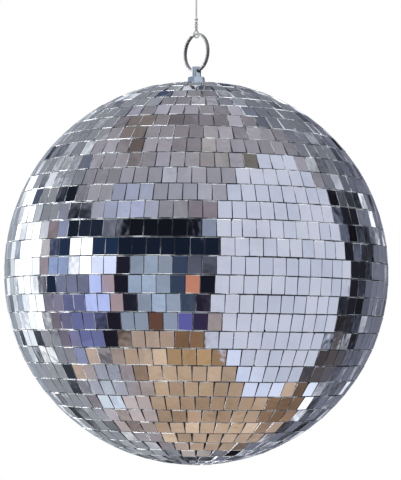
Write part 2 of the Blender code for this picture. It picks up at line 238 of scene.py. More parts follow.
def card_group():
    """One flat card far round the ball: the colour of what lies under it, or its own inside its edges.

    The direction is handed on with a trace of the colour in it, so that the cards are worked out in turn."""
    tree = bpy.data.node_groups.new("card", "ShaderNodeTree")
    nodes = Nodes(tree)
    sockets = [("Direction", "NodeSocketVector"), ("Under", "NodeSocketColor")]
    sockets += [("Card", "NodeSocketColor"), ("Facing", "NodeSocketVector")]
    sockets += [("Right", "NodeSocketVector"), ("Up", "NodeSocketVector")]
    edges = ("Left Edge", "Right Edge", "Low Edge", "High Edge", "Sharpness")
    sockets += [(name, "NodeSocketFloat") for name in edges]
    for name, kind in sockets:
        tree.interface.new_socket(name, in_out="INPUT", socket_type=kind)
    tree.interface.new_socket("Colour", in_out="OUTPUT", socket_type="NodeSocketColor")
    tree.interface.new_socket("Direction", in_out="OUTPUT", socket_type="NodeSocketVector")
    given = nodes.add("NodeGroupInput").outputs
    ahead = nodes.dot(given["Direction"], given["Facing"])
    depth = nodes.math("MAXIMUM", ahead, LEAST_AHEAD)
    across = nodes.math("DIVIDE", nodes.dot(given["Direction"], given["Right"]), depth)
    upward = nodes.math("DIVIDE", nodes.dot(given["Direction"], given["Up"]), depth)
    inside = nodes.math("GREATER_THAN", ahead, LEAST_AHEAD)
    for distance in (
        nodes.math("SUBTRACT", across, given["Left Edge"]),
        nodes.math("SUBTRACT", given["Right Edge"], across),
        nodes.math("SUBTRACT", upward, given["Low Edge"]),
        nodes.math("SUBTRACT", given["High Edge"], upward),
    ):
        edge = nodes.math("MULTIPLY", distance, given["Sharpness"])
        edge = nodes.math("ADD", edge, 0.5, clamp=True)
        inside = nodes.math("MULTIPLY", inside, edge)
    out = nodes.add("NodeGroupOutput")
    laid = nodes.mix(inside, given["Under"], given["Card"])
    nodes.link(laid, out.inputs["Colour"])
    handed_on = nodes.add("ShaderNodeVectorMath", operation="MULTIPLY_ADD")
    nodes.link(laid, handed_on.inputs[0])
    handed_on.inputs[1].default_value = COLOUR_TRACE
    nodes.link(given["Direction"], handed_on.inputs[2])
    nodes.link(handed_on.outputs[0], out.inputs["Direction"])
    return tree


# Each card: the azimuth that it faces the ball from, its left and right edges as azimuths, its low and
# high edges as elevations at that azimuth, its colour on screen, and how soft its edges are in degrees.
# The first cards are mottled like the room behind them, and the later ones are plain.
ROOM_CARDS = (
    (-105, -140, -68, 60, 72, (0.47, 0.43, 0.42), 12),
    (-130, -175, -105, 26, 46, (0.47, 0.49, 0.55), 12),
    (-45, -66, -28, 30, 48, (0.64, 0.66, 0.74), 6),
    (25, 18, 36, 60, 70, (0.43, 0.41, 0.39), 5),
    (10, 0, 30, 66, 78, (0.63, 0.61, 0.61), 5),
    (8, -6, 24, 29, 40, (0.50, 0.47, 0.50), 5),
    (58, 46, 68, 56, 64, (0.44, 0.42, 0.40), 4),
    (0, -20, 18, 20, 30, (0.50, 0.53, 0.60), 3),
    (-80, -107, -52, -38, 24, (0.50, 0.52, 0.62), 4),
    (-100, -106, -94, -8, 24, (0.52, 0.47, 0.48), 3),
    (-88, -96, -76, -2, 8, (0.53, 0.59, 0.71), 3),
    (-76, -92, -60, -36, -11, (0.42, 0.44, 0.60), 4),
    (-97, -105, -90, -34, -10, (0.47, 0.44, 0.50), 4),
    (-28, -48, -9, -36, 8, (0.57, 0.62, 0.69), 2),
    (0, -10, 13, -30, 11, (0.37, 0.39, 0.45), 2),
    (120, 97, 165, -44, 34, (0.37, 0.39, 0.46), 6),
    (125, 112, 142, -4, 16, (0.38, 0.44, 0.54), 5),
    (140, 130, 166, 28, 62, (0.42, 0.44, 0.49), 8),
    (112, 98, 120, -40, -25, (0.45, 0.50, 0.64), 3),
    (125, 104, 145, -60, -44, (0.50, 0.40, 0.32), 4),
    (-5, -30, 30, -60, -46, (0.70, 0.58, 0.44), 8),
    (0, -18, 16, -49, -36, (0.48, 0.37, 0.28), 3),
    (-140, -172, -112, -60, -34, (0.64, 0.62, 0.64), 8),
    (-100, -150, -60, -72, -56, (0.70, 0.65, 0.64), 10),
)

PLAIN_CARDS = (
    # windows, bright doorways and pale walls at the left
    (-140, -158, -124, 13, 18, (1.20, 1.22, 1.26), 3),
    (-114, -120, -107, 7, 17, (1.20, 1.22, 1.25), 3),
    (-123, -131, -117, -3, 9, (1.20, 1.22, 1.25), 3),
    (-113, -118, -109, -18, -5, (1.15, 1.18, 1.22), 3),
    (-60, -66, -55, -22, -1, (0.74, 0.79, 0.98), 2),
    (-52, -62, -46, -1, 6, (0.86, 0.89, 1.00), 2),
    (-70, -77, -62, -2, 15, (1.20, 1.21, 1.22), 1.5),
    (-50, -55, -46, -20, -2, (0.66, 0.58, 0.60), 2),
    # dark frames, beam and column
    (-96, -103, -88, -9, 0, (0.12, 0.16, 0.25), 2),
    (-87, -94, -79, 7, 13, (0.15, 0.20, 0.30), 2),
    (-95, -105, -87, 27, 34, (0.10, 0.12, 0.16), 2),
    (-79, -87, -72, 15, 29, (0.11, 0.13, 0.18), 2),
    (-63, -71, -54, 16, 24, (0.13, 0.16, 0.22), 2),
    (-55, -62, -47, 7, 15, (0.13, 0.19, 0.29), 2),
    (-20, -47, 12, 9, 18, (0.09, 0.12, 0.18), 1.5),
    (-22, -45, -1, 18, 28, (0.08, 0.09, 0.12), 1.5),
    (-43, -47, -39, -24, 11, (0.12, 0.12, 0.17), 1),
    (-57, -66, -47, -37, -24, (0.12, 0.11, 0.15), 2),
    (-8, -11, -5, -22, 4, (0.22, 0.27, 0.36), 1.5),
    (9, 5, 13, -16, 2, (0.09, 0.10, 0.14), 2),
    # things that stand below the camera
    (-24, -28, -20, -34, -27, (0.40, 0.28, 0.24), 2),
    (0, -3, 4, -14, -4, (0.74, 0.50, 0.42), 2),
    (0, -4, 5, -25, -15, (0.14, 0.11, 0.18), 1.5),
    (-5, -9, -1, -35, -27, (0.36, 0.36, 0.62), 2),
    (4, 0, 9, -35, -26, (0.20, 0.17, 0.28), 2),
    # streaks on the floor, most of them bright
    (125, 116, 131, -42, -39, (0.92, 0.95, 1.02), 2),
    (-112, -124, -100, -54, -48, (0.86, 0.90, 0.94), 4),
    (-94, -116, -76, -72, -68, (0.80, 0.78, 0.72), 3),
    (-66, -74, -56, -72, -69, (0.92, 0.92, 0.88), 2),
    (-92, -104, -84, -82, -76, (0.30, 0.22, 0.17), 4),
    (96, 88, 104, -86, -81, (0.26, 0.20, 0.17), 3),
    # white panel at the right
    (75, 12, 98.5, -67, 60.5, (0.764, 0.782, 0.848), 0.8),
    (75, 20, 97, -66, -56, (0.83, 0.86, 0.95), 3),
)

# Far to the left and right, and behind the ball, the room is broken into upright streaks: the azimuth
# that a zone faces the ball from, its edges as in the cards, and the dark, middle and bright colours
# of its streaks.
STREAK_ZONES = (
    (-150, -205, -104, -24, 24, (0.16, 0.20, 0.25), (0.60, 0.63, 0.67), (1.10, 1.12, 1.15)),
    (-124, -142, -104, -20, 20, (0.50, 0.56, 0.63), (1.05, 1.07, 1.10), (1.30, 1.30, 1.30)),
    (-150, -200, -100, -46, -18, (0.20, 0.22, 0.25), (0.58, 0.59, 0.62), (1.05, 1.06, 1.06)),
    (-150, -190, -100, 22, 52, (0.26, 0.30, 0.40), (0.54, 0.55, 0.58), (0.86, 0.88, 0.92)),
    (110, 96, 125, -38, 32, (0.05, 0.05, 0.06), (0.13, 0.13, 0.16), (0.48, 0.51, 0.60)),
    (125, 102, 165, -44, -20, (0.08, 0.07, 0.06), (0.33, 0.31, 0.32), (1.00, 1.03, 1.08)),
    (150, 122, 182, -42, 24, (0.09, 0.09, 0.11), (0.44, 0.45, 0.51), (1.10, 1.12, 1.16)),
    (-96, -124, -66, -61, -43, (0.22, 0.24, 0.32), (0.64, 0.65, 0.70), (1.02, 1.08, 1.14)),
    (140, 108, 176, 28, 54, (0.22, 0.22, 0.26), (0.46, 0.47, 0.51), (0.74, 0.76, 0.80)),
)


def add_cards(nodes, towards, under, cards):
    """Cards laid over what is round the ball already. A card's colour may also be a socket."""
    group = bpy.data.node_groups.get("card") or card_group()
    for facing, left, right, low, high, colour, soft in cards:
        card = nodes.add("ShaderNodeGroup", node_tree=group)
        values = {
            "Direction": towards,
            "Under": under,
            "Card": colour if isinstance(colour, bpy.types.NodeSocket) else (*linear(*colour), 1.0),
            "Facing": direction(facing, 0.0),
            "Right": direction(facing + 90, 0.0),
            "Up": Vector((0.0, 0.0, 1.0)),
            "Left Edge": math.tan(math.radians(left - facing)),
            "Right Edge": math.tan(math.radians(right - facing)),
            "Low Edge": math.tan(math.radians(low)),
            "High Edge": math.tan(math.radians(high)),
            "Sharpness": 1.0 / math.radians(soft),
        }
        for name, value in values.items():
            nodes.feed(card.inputs[name], value)
        under, towards = card.outputs["Colour"], card.outputs["Direction"]
    return under, towards


def streaks(nodes, towards, dark, middle, bright):
    """Upright streaks, narrow across and long in height."""
    noise = nodes.noise(nodes.stretched(towards, 0.30), 9.0, 5.0, 0.75)
    places = (0.38, 0.47, 0.56, 0.64)
    colours = (linear(*colour) for colour in (dark, middle, middle, bright))
    stops = tuple(zip(places, colours))
    return nodes.ramp(noise.outputs["Fac"], stops)


def add_world():
    """A soft room of cards round the ball, which shows only in reflections and as light."""
    world = bpy.data.worlds.new("studio")
    bpy.context.scene.world = world
    world.use_nodes = True
    nodes = Nodes(world.node_tree)
    world.node_tree.nodes.clear()
    towards = nodes.add("ShaderNodeTexCoord").outputs["Generated"]
    split = nodes.add("ShaderNodeSeparateXYZ")
    nodes.link(towards, split.inputs[0])
    room = nodes.ramp(
        nodes.from_zero(split.outputs["Z"]),
        (
            (0.0, linear(0.70, 0.60, 0.50)),
            (0.10, linear(0.71, 0.62, 0.54)),
            (0.22, linear(0.67, 0.595, 0.55)),
            (0.27, linear(0.52, 0.51, 0.55)),
            (0.60, linear(0.51, 0.52, 0.58)),
            (0.75, linear(0.58, 0.58, 0.62)),
            (0.92, linear(0.61, 0.60, 0.63)),
            (1.0, linear(0.56, 0.54, 0.56)),
        ),
    )
    room, last_towards = add_cards(nodes, towards, room, ROOM_CARDS)
    broad = nodes.noise(towards, 2.4, 2.0, 0.5)
    tones = ((0.34, (0.30, 0.27, 0.27)), (0.5, (0.5, 0.5, 0.5)), (0.68, (0.70, 0.72, 0.77)))
    room = nodes.mix(0.5, room, nodes.ramp(broad.outputs["Fac"], tones), "OVERLAY")
    flat = nodes.stretched(towards, 1.8)
    clutter = nodes.noise(flat, 7.0, 4.0, 0.7)
    tones = ((0.34, (0.16, 0.14, 0.13)), (0.5, (0.50, 0.50, 0.50)), (0.66, (0.80, 0.82, 0.87)))
    behind = nodes.from_zero(split.outputs["Y"])
    room = nodes.mix(behind, room, nodes.ramp(clutter.outputs["Fac"], tones), "OVERLAY")
    small = nodes.noise(flat, 19.0, 2.0, 0.6)
    tones = ((0.36, (0.30, 0.29, 0.28)), (0.64, (0.68, 0.69, 0.72)))
    room = nodes.mix(0.35, room, nodes.ramp(small.outputs["Fac"], tones), "OVERLAY")
    for facing, left, right, low, high, *colours in STREAK_ZONES:
        colour = streaks(nodes, towards, *colours)
        zone = (facing, left, right, low, high, colour, STREAK_ZONE_SOFTNESS)
        room, last_towards = add_cards(nodes, last_towards, room, (zone,))
    room, last_towards = add_cards(nodes, last_towards, room, PLAIN_CARDS)
    reflected = nodes.add("ShaderNodeBackground")
    nodes.link(room, reflected.inputs["Color"])
    reflected.inputs["Strength"].default_value = ROOM_STRENGTH
    seen = nodes.add("ShaderNodeBackground")
    seen.inputs["Color"].default_value = (1.0, 1.0, 1.0, 1.0)
    choose = nodes.add("ShaderNodeMixShader")
    nodes.link(nodes.add("ShaderNodeLightPath").outputs["Is Camera Ray"], choose.inputs[0])
    nodes.link(reflected.outputs[0], choose.inputs[1])
    nodes.link(seen.outputs[0], choose.inputs[2])
    nodes.link(choose.outputs[0], nodes.add("ShaderNodeOutputWorld").inputs[0])


def add_side_light(azimuth, elevation, size, power):
    """A soft light on edges, fabric, string and fittings that makes no highlight in the mirrors."""
    data = bpy.data.lights.new("side_light", "AREA")
    data.shape = "DISK"
    data.size = size
    data.energy = power
    light = bpy.data.objects.new("side_light", data)
    light.location = BALL_CENTRE + direction(azimuth, elevation) * LIGHT_DISTANCE
    light.rotation_euler = (BALL_CENTRE - light.location).to_track_quat("-Z", "Y").to_euler()
    light.visible_glossy = False
    light.visible_camera = False
    bpy.context.scene.collection.objects.link(light)


def add_floor():
    """A plain pale floor below the ball."""
    shape = bmesh.new()
    bmesh.ops.create_circle(shape, cap_ends=True, segments=96, radius=4.0)
    mesh = bpy.data.meshes.new("floor")
    shape.to_mesh(mesh)
    shape.free()
    floor = bpy.data.objects.new("floor", mesh)
    floor.location.z = BALL_CENTRE.z - 1.6
    bpy.context.scene.collection.objects.link(floor)
    material, _, shader, _ = new_material("pale_floor")
    shader.inputs["Base Color"].default_value = (0.86, 0.855, 0.845, 1.0)
    shader.inputs["Roughness"].default_value = 0.8
    mesh.materials.append(material)
    floor.visible_glossy = False


# ---------------------------------------------------------------- materials

def mirror_face():
    """Silvered glass seen through its front: nearly clean, with faint dust, smears and uneven glass."""
    material, nodes, shader, place = new_material("mirror_face")
    shader.inputs["Metallic"].default_value = 1.0
    island = nodes.add("ShaderNodeNewGeometry").outputs["Random Per Island"]
    tints = ((0.0, (0.80, 0.82, 0.85)), (0.5, (0.90, 0.91, 0.93)), (1.0, (0.93, 0.94, 0.93)))
    tint = nodes.ramp(island, tints)
    smear = nodes.noise(place, 55.0, 5.0, 0.65)
    haze = nodes.ramp(smear.outputs["Fac"], ((0.45, (1.0, 1.0, 1.0)), (0.8, (0.86, 0.87, 0.88))))
    nodes.link(nodes.mix(1.0, tint, haze, "MULTIPLY"), shader.inputs["Base Color"])
    rough = nodes.ramp(smear.outputs["Fac"], ((0.35, (0.012,) * 3), (0.75, (0.07,) * 3)))
    nodes.link(rough, shader.inputs["Roughness"])
    wave = nodes.noise(place, 190.0, 1.0)
    nodes.link(nodes.bump(wave.outputs["Fac"], 0.00002), shader.inputs["Normal"])
    return material


def glass_edge(name, dark, middle, bright):
    """A ground edge of the tiles: grey glass with a satin grind. Its colour holds painted glints and painted
    shade: each tile's edges take a random tone from dark to bright, and some stretches along the seam are
    darkened.
    """
    material, nodes, shader, place = new_material(name)
    grind = nodes.noise(place, 900.0, 3.0)
    island = nodes.add("ShaderNodeNewGeometry").outputs["Random Per Island"]
    # painted glints and painted shade: each tile's edges are dark, middle or bright at random
    tone = nodes.ramp(island, ((0.0, dark), (0.45, middle), (0.75, bright)))
    # painted breakup of the glints: some stretches along the seam are darkened
    glint_breakup = nodes.noise(place, 130.0, 2.0)
    marks = nodes.ramp(glint_breakup.outputs["Fac"], ((0.42, (0.25, 0.26, 0.27)), (0.54, (1.0, 1.0, 1.0))))
    nodes.link(nodes.mix(1.0, tone, marks, "MULTIPLY"), shader.inputs["Base Color"])
    shader.inputs["Roughness"].default_value = 0.18
    shader.inputs["IOR"].default_value = 1.52
    nodes.link(nodes.bump(grind.outputs["Fac"], 0.00003), shader.inputs["Normal"])
    return material


def cloth_backing():
    """Woven grey fabric with adhesive, seen between the tiles."""
    material, nodes, shader, place = new_material("cloth_backing")
    weave = nodes.add("ShaderNodeTexWave", wave_type="BANDS", bands_direction="Z")
    nodes.link(place, weave.inputs["Vector"])
    weave.inputs["Scale"].default_value = 1500.0
    blot = nodes.noise(place, 300.0, 4.0, 0.7)
    tone = nodes.ramp(blot.outputs["Fac"], ((0.3, (0.035, 0.037, 0.042)), (0.7, (0.10, 0.105, 0.115))))
    nodes.link(tone, shader.inputs["Base Color"])
    shader.inputs["Roughness"].default_value = 0.8
    nodes.link(nodes.bump(weave.outputs["Fac"], 0.00005), shader.inputs["Normal"])
    return material


def core_plastic():
    """Grey moulded plastic with a faint orange-peel texture."""
    material, nodes, shader, place = new_material("core_plastic")
    smear = nodes.noise(place, 90.0, 5.0, 0.6)
    tone = nodes.ramp(smear.outputs["Fac"], ((0.35, (0.22, 0.225, 0.24)), (0.7, (0.34, 0.345, 0.36))))
    nodes.link(tone, shader.inputs["Base Color"])
    rough = nodes.ramp(smear.outputs["Fac"], ((0.3, (0.4,) * 3), (0.7, (0.65,) * 3)))
    nodes.link(rough, shader.inputs["Roughness"])
    nodes.link(nodes.bump(smear.outputs["Fac"], 0.0002), shader.inputs["Normal"])
    return material


def zinc_plate():
    """Bright bluish zinc with turning marks and a few dull spots."""
    material, nodes, shader, place = new_material("zinc_plate")
    shader.inputs["Metallic"].default_value = 0.9
    spots = nodes.noise(place, 160.0, 3.0, 0.6)
    tones = ((0.3, (0.62, 0.70, 0.74)), (0.55, (0.70, 0.78, 0.82)), (0.8, (0.78, 0.85, 0.88)))
    tone = nodes.ramp(spots.outputs["Fac"], tones)
    nodes.link(tone, shader.inputs["Base Color"])
    rough = nodes.ramp(spots.outputs["Fac"], ((0.3, (0.20,) * 3), (0.7, (0.13,) * 3)))
    nodes.link(rough, shader.inputs["Roughness"])
    marks = nodes.add("ShaderNodeTexWave", wave_type="BANDS", bands_direction="Z")
    nodes.link(place, marks.inputs["Vector"])
    marks.inputs["Scale"].default_value = 1800.0
    marks.inputs["Distortion"].default_value = 0.6
    nodes.link(nodes.bump(marks.outputs["Fac"], 0.000003), shader.inputs["Normal"])
    return material


def ring_nickel(name, dull, clean):
    """Nickel-plated spring wire, between a dull and a clean tone."""
    material, nodes, shader, place = new_material(name)
    shader.inputs["Metallic"].default_value = 0.8
    wear = nodes.noise(place, 90.0, 2.0, 0.5)
    nodes.link(nodes.ramp(wear.outputs["Fac"], ((0.3, dull), (0.65, clean))), shader.inputs["Base Color"])
    rough = nodes.ramp(wear.outputs["Fac"], ((0.3, (0.42,) * 3), (0.7, (0.34,) * 3)))
    nodes.link(rough, shader.inputs["Roughness"])
    nodes.link(nodes.bump(wear.outputs["Fac"], 0.00001), shader.inputs["Normal"])
    return material


def nylon_line():
    """Translucent nylon with faint drawn streaks, its dark grey a painted shade for the darker room seen
    through the clear line.
    """
    material, nodes, shader, place = new_material("nylon_line")
    streak = nodes.noise(nodes.stretched(place, 0.08), 600.0, 1.0, 0.5)
    # painted shade: the dark grey stands in for the darker room seen through the clear nylon
    tone = nodes.ramp(streak.outputs["Fac"], ((0.3, (0.15, 0.15, 0.145)), (0.7, (0.19, 0.19, 0.185))))
    nodes.link(tone, shader.inputs["Base Color"])
    shader.inputs["Roughness"].default_value = 0.45
    shader.inputs["IOR"].default_value = 1.53
    shader.inputs["Alpha"].default_value = 0.42
    nodes.link(nodes.bump(streak.outputs["Fac"], 0.000004), shader.inputs["Normal"])
    return material


# ---------------------------------------------------------------- mesh helpers

def finish_mesh(name, shape, sharp=30):
    """The shape as a mesh, smooth but for edges over so many degrees."""
    bmesh.ops.recalc_face_normals(shape, faces=shape.faces)
    mesh = bpy.data.meshes.new(name)
    shape.to_mesh(mesh)
    shape.free()
    mesh.shade_smooth()
    mesh.set_sharp_from_angle(angle=math.radians(sharp))
    return mesh


def add_piece(name, data, materials, body, slot, *nodes, location=(0.0, 0.0, 0.0), turn=0.0):
    """A piece in the row frame that rides on a body and stands for CAD nodes."""
    for material in materials:
        data.materials.append(material)
    piece = bpy.data.objects.new(name, data)
    bpy.context.scene.collection.objects.link(piece)
    piece.location = location
    piece.rotation_euler.z = turn
    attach(piece, body)
    if nodes:
        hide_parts(*nodes)
    return piece


def turned(name, profile, sides, closed):
    """A profile of (distance from the axis, height) spun about Z."""
    shape = bmesh.new()
    corners = [shape.verts.new((across, 0.0, height)) for across, height in profile]
    ends = list(zip(corners, corners[1:]))
    if closed:
        ends.append((corners[-1], corners[0]))
    edges = [shape.edges.new(pair) for pair in ends]
    bmesh.ops.spin(
        shape, geom=corners + edges, cent=(0, 0, 0), axis=(0, 0, 1), angle=math.tau, steps=sides
    )
    bmesh.ops.remove_doubles(shape, verts=shape.verts, dist=1e-7)
    return finish_mesh(name, shape)


def swept(name, places, section, closed=False):
    """A section of (across, upward) points carried through (middle, across axis, upward axis) places."""
    shape = bmesh.new()
    rings = []
    for middle, across, upward in places:
        rings.append([shape.verts.new(middle + across * x + upward * y) for x, y in section])
    pairs = list(zip(rings, rings[1:]))
    if closed:
        pairs.append((rings[-1], rings[0]))
    count = len(section)
    for one, two in pairs:
        for corner in range(count):
            after = (corner + 1) % count
            shape.faces.new((one[corner], one[after], two[after], two[corner]))
    if not closed:
        shape.faces.new(rings[0])
        shape.faces.new(rings[-1])
    return finish_mesh(name, shape)


def round_section(radius, sides):
    """A circle as (across, upward) points."""
    return [
        (radius * math.cos(math.tau * k / sides), radius * math.sin(math.tau * k / sides))
        for k in range(sides)
    ]


def tube_places(points):
    """Places along a route with a section that turns as little as it can."""
    places = []
    across = None
    for number, point in enumerate(points):
        before = points[max(number - 1, 0)]
        after = points[min(number + 1, len(points) - 1)]
        along = (after - before).normalized()
        if across is None:
            across = along.orthogonal().normalized()
        across = (across - along * across.dot(along)).normalized()
        places.append((point, across, along.cross(across)))
    return places


# ---------------------------------------------------------------- mirror strips

def crown_reach(latitude):
    """(radius of the ball's face at a latitude, how that radius changes with latitude)."""
    if latitude <= CROWN_START:
        return BALL_RADIUS, 0.0
    span = math.pi / 2 - CROWN_START
    rise = (latitude - CROWN_START) / span
    return BALL_RADIUS - CROWN_DROP * rise * rise, -2 * CROWN_DROP * rise / span


# a tile is drawn lying in X and Y, and stands on a strip with X to the east, Y up and Z outwards
TILE_STANDING = Matrix(((0, 0, 1, 0), (1, 0, 0, 0), (0, 1, 0, 0), (0, 0, 0, 1)))
MIRROR_SLOT, CUT_EDGE_SLOT, BACK_SLOT, GROUND_EDGE_SLOT = range(4)


class StripMesh:
    """Collects the tiles and the backing of one strip."""

    def __init__(self):
        self.points = []
        self.faces = []
        self.slots = []

    def add(self, points, faces, slots):
        start = len(self.points)
        self.points += points
        self.faces += [[start + corner for corner in face] for face in faces]
        self.slots += slots

    def mesh(self, name):
        mesh = bpy.data.meshes.new(name)
        mesh.from_pydata(self.points, [], self.faces)
        mesh.polygons.foreach_set("material_index", self.slots)
        mesh.update()
        return mesh


def tile_outline(width, height):
    """Corners of a tile's face, anticlockwise. A few tiles have lost a corner."""
    x, y = width / 2, height / 2
    corners = [Vector((-x, -y)), Vector((x, -y)), Vector((x, y)), Vector((-x, y))]
    if random.random() < LOST_CORNERS:
        lost = random.randrange(4)
        here, before, after = corners[lost], corners[lost - 1], corners[(lost + 1) % 4]
        one = here.lerp(before, random.uniform(0.06, 0.16))
        two = here.lerp(after, random.uniform(0.06, 0.16))
        corners[lost : lost + 1] = [one, two]
    return corners


def runs_along_row(run):
    return abs(run.x) > abs(run.y)


def inset(corners):
    """The outline moved inwards by its ground edges, which are wider along the top and bottom."""
    moved = []
    for number, here in enumerate(corners):
        before = (here - corners[number - 1]).normalized()
        after = (corners[(number + 1) % len(corners)] - here).normalized()
        first = ROW_SEAM if runs_along_row(before) else SIDE_SEAM
        second = ROW_SEAM if runs_along_row(after) else SIDE_SEAM
        across = before.cross(after)
        moved.append(here + (after * first - before * second) / across)
    return moved


def add_tile(strip, place, width, height):
    """A glass tile: silvered face, ground edges, cut sides and a back glued to the cloth."""
    outline = tile_outline(width, height)
    count = len(outline)
    layers = [(inset(outline), 0.0), (outline, -SEAM_DROP), (outline, -TILE_DEPTH)]
    points = []
    for corners, depth in layers:
        points += [place @ Vector((corner.x, corner.y, depth)) for corner in corners]
    faces = [list(range(count))]
    slots = [MIRROR_SLOT]
    for layer in (0, count):
        for corner in range(count):
            after = (corner + 1) % count
            faces.append([layer + corner, layer + count + corner, layer + count + after, layer + after])
            ground = layer == 0 and runs_along_row(outline[after] - outline[corner])
            slots.append(GROUND_EDGE_SLOT if ground else CUT_EDGE_SLOT)
    faces.append(list(range(3 * count - 1, 2 * count - 1, -1)))
    slots.append(BACK_SLOT)
    strip.add(points, faces, slots)


def add_backing(strip, latitude, reach, slope, height):
    """The strip's fabric band, one closed ring under the tiles."""
    sides = 128
    facing = latitude + math.atan2(-slope, reach)
    points = []
    for side in range(sides):
        azimuth = math.tau * side / sides
        out = Vector((math.cos(azimuth), math.sin(azimuth), 0.0))
        normal = out * math.cos(facing) + Vector((0, 0, math.sin(facing)))
        north = Vector((0, 0, math.cos(facing))) - out * math.sin(facing)
        middle = out * reach * math.cos(latitude) + Vector((0, 0, reach * math.sin(latitude)))
        for depth, up in (
            (TILE_DEPTH + GLUE_DEPTH, -1),
            (TILE_DEPTH + GLUE_DEPTH, 1),
            (TILE_DEPTH + CLOTH_DEPTH, 1),
            (TILE_DEPTH + CLOTH_DEPTH, -1),
        ):
            spread = height / 2 - depth * math.tan(STRIP_STEP / 2)
            points.append(BALL_CENTRE + middle - normal * depth + north * up * spread)
    faces = []
    for side in range(sides):
        here, there = 4 * side, 4 * ((side + 1) % sides)
        for corner in range(4):
            after = (corner + 1) % 4
            faces.append([here + corner, there + corner, there + after, here + after])
    strip.add(points, faces, [BACK_SLOT] * len(faces))


def add_strip(number, node, materials):
    """One strip of tiles. Each is a rectangle, so towards a pole they fan out and leave wedges."""
    latitude = POLE_OPENING - (number + 0.5) * STRIP_STEP
    reach, slope = crown_reach(latitude)
    tilt = math.atan2(-slope, reach)
    pitch = 2 * reach * math.tan(STRIP_STEP / 2)
    height = pitch - ROW_GAP
    narrow = reach * math.cos(latitude) - height / 2 * abs(math.sin(latitude))
    width = TILE_WIDTH if abs(latitude) < HALF_TILE_LATITUDE else TILE_WIDTH / 2
    around = math.tau * narrow
    count = int(around / (width + TILE_GAP))
    spare = around - count * (width + TILE_GAP)
    widths = [width] * count
    if spare > JOINT_TILE_LEAST + TILE_GAP:
        widths.append(spare - TILE_GAP - JOINT_GAP_LEAST)
        spare = JOINT_GAP_LEAST
    joint_gap = min(spare, JOINT_GAP_MOST)
    gap = TILE_GAP + (spare - joint_gap) / len(widths)

    strip = StripMesh()
    wave_turns = random.randint(3, 7)
    wave_phase = random.uniform(0, math.tau)
    azimuth = random.uniform(0, math.tau)
    # the numbers are drawn in this order: lift, tip, swing, skew, width, height, lost corner
    for tile_width in widths:
        middle_azimuth = azimuth + tile_width / 2 / narrow
        azimuth += (tile_width + gap) / narrow
        wave = math.sin(wave_turns * middle_azimuth + wave_phase)
        place = (
            Matrix.Translation(BALL_CENTRE)
            @ Matrix.Rotation(middle_azimuth, 4, "Z")
            @ Matrix.Rotation(-latitude, 4, "Y")
            @ Matrix.Translation((reach + random.gauss(0.0, TILE_LIFT_SCATTER), 0.0, wave * STRIP_WAVE))
            @ Matrix.Rotation(
                -tilt + math.radians(random.gauss(0.0, TILE_TIP_SCATTER) + STRIP_WAVE_TIP * wave), 4, "Y"
            )
            @ Matrix.Rotation(math.radians(random.gauss(0.0, TILE_SWING_SCATTER)), 4, "Z")
            @ TILE_STANDING
            @ Matrix.Rotation(math.radians(random.gauss(0.0, TILE_SKEW_SCATTER)), 4, "Z")
        )
        cut_width = tile_width + random.gauss(0.0, TILE_CUT_SCATTER)
        cut_height = height + random.gauss(0.0, TILE_CUT_SCATTER)
        add_tile(strip, place, cut_width, cut_height)
    add_backing(strip, latitude, reach, slope, pitch - CLOTH_ROW_GAP)
    name = f"tile_strip_{number + 1:02d}"
    piece = add_piece(name, strip.mesh(name), materials, "ball", "mirror", node)
    lean = (
        Matrix.Translation(BALL_CENTRE)
        @ Matrix.Rotation(STRIP_LEAN, 4, "Y")
        @ Matrix.Translation(-BALL_CENTRE)
    )
    piece.data.transform(lean)


def add_bottom_mirror(materials):
    """The round mirror that closes the bottom, with its face downwards."""
    low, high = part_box("bottom_mirror")
    radius = high.x
    profile = [
        (0.0, low.z),
        (radius - ROW_SEAM, low.z),
        (radius, low.z + ROW_SEAM),
        (radius, high.z),
        (0.0, high.z),
    ]
    mesh = turned("round_mirror", profile, 96, closed=False)
    slots = []
    for face in mesh.polygons:
        if abs(face.normal.z) < 0.95:
            slots.append(CUT_EDGE_SLOT)
        else:
            slots.append(MIRROR_SLOT if face.normal.z < 0 else BACK_SLOT)
    mesh.polygons.foreach_set("material_index", slots)
    add_piece("round_mirror", mesh, materials, "ball", "mirror", "bottom_mirror")


# ---------------------------------------------------------------- hanger

def rounded_profile(inner, outer, low, high, edge):
    """Section of a washer with its edges broken."""
    return [
        (inner, low + edge),
        (inner + edge, low),
        (outer - edge, low),
        (outer, low + edge),
        (outer, high - edge),
        (outer - edge, high),
        (inner + edge, high),
        (inner, high - edge),
    ]


def add_hex_nut(name, node, turn, material):
    """A hex nut with chamfered corners and a countersunk bore."""
    low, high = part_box(node)
    thread_play = 0.00002
    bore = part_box("hanging_pin")[1].x + thread_play
    countersink = 0.0004
    chamfer_radius = NUT_HALF_FLATS * 0.97
    chamfer_slope = math.tan(math.radians(30))
    sides = 96
    shape = bmesh.new()
    rings = []
    for step in range(sides):
        angle = math.tau * step / sides
        corner = (angle + math.pi / 6) % (math.pi / 3) - math.pi / 6
        reach = NUT_HALF_FLATS / math.cos(math.pi / 6 - abs(corner))
        drop = (reach - chamfer_radius) * chamfer_slope
        section = (
            (bore, low.z + countersink),
            (bore + countersink, low.z),
            (chamfer_radius, low.z),
            (reach, low.z + drop),
            (reach, high.z - drop),
            (chamfer_radius, high.z),
            (bore + countersink, high.z),
            (bore, high.z - countersink),
        )
        bearing = angle + turn
        rings.append(
            [shape.verts.new((r * math.cos(bearing), r * math.sin(bearing), z)) for r, z in section]
        )
    for one, two in zip(rings, rings[1:] + rings[:1]):
        for corner in range(len(one)):
            after = (corner + 1) % len(one)
            shape.faces.new((one[corner], two[corner], two[after], one[after]))
    add_piece(name, finish_mesh(name, shape, 20), [material], "ball", "zinc", node)


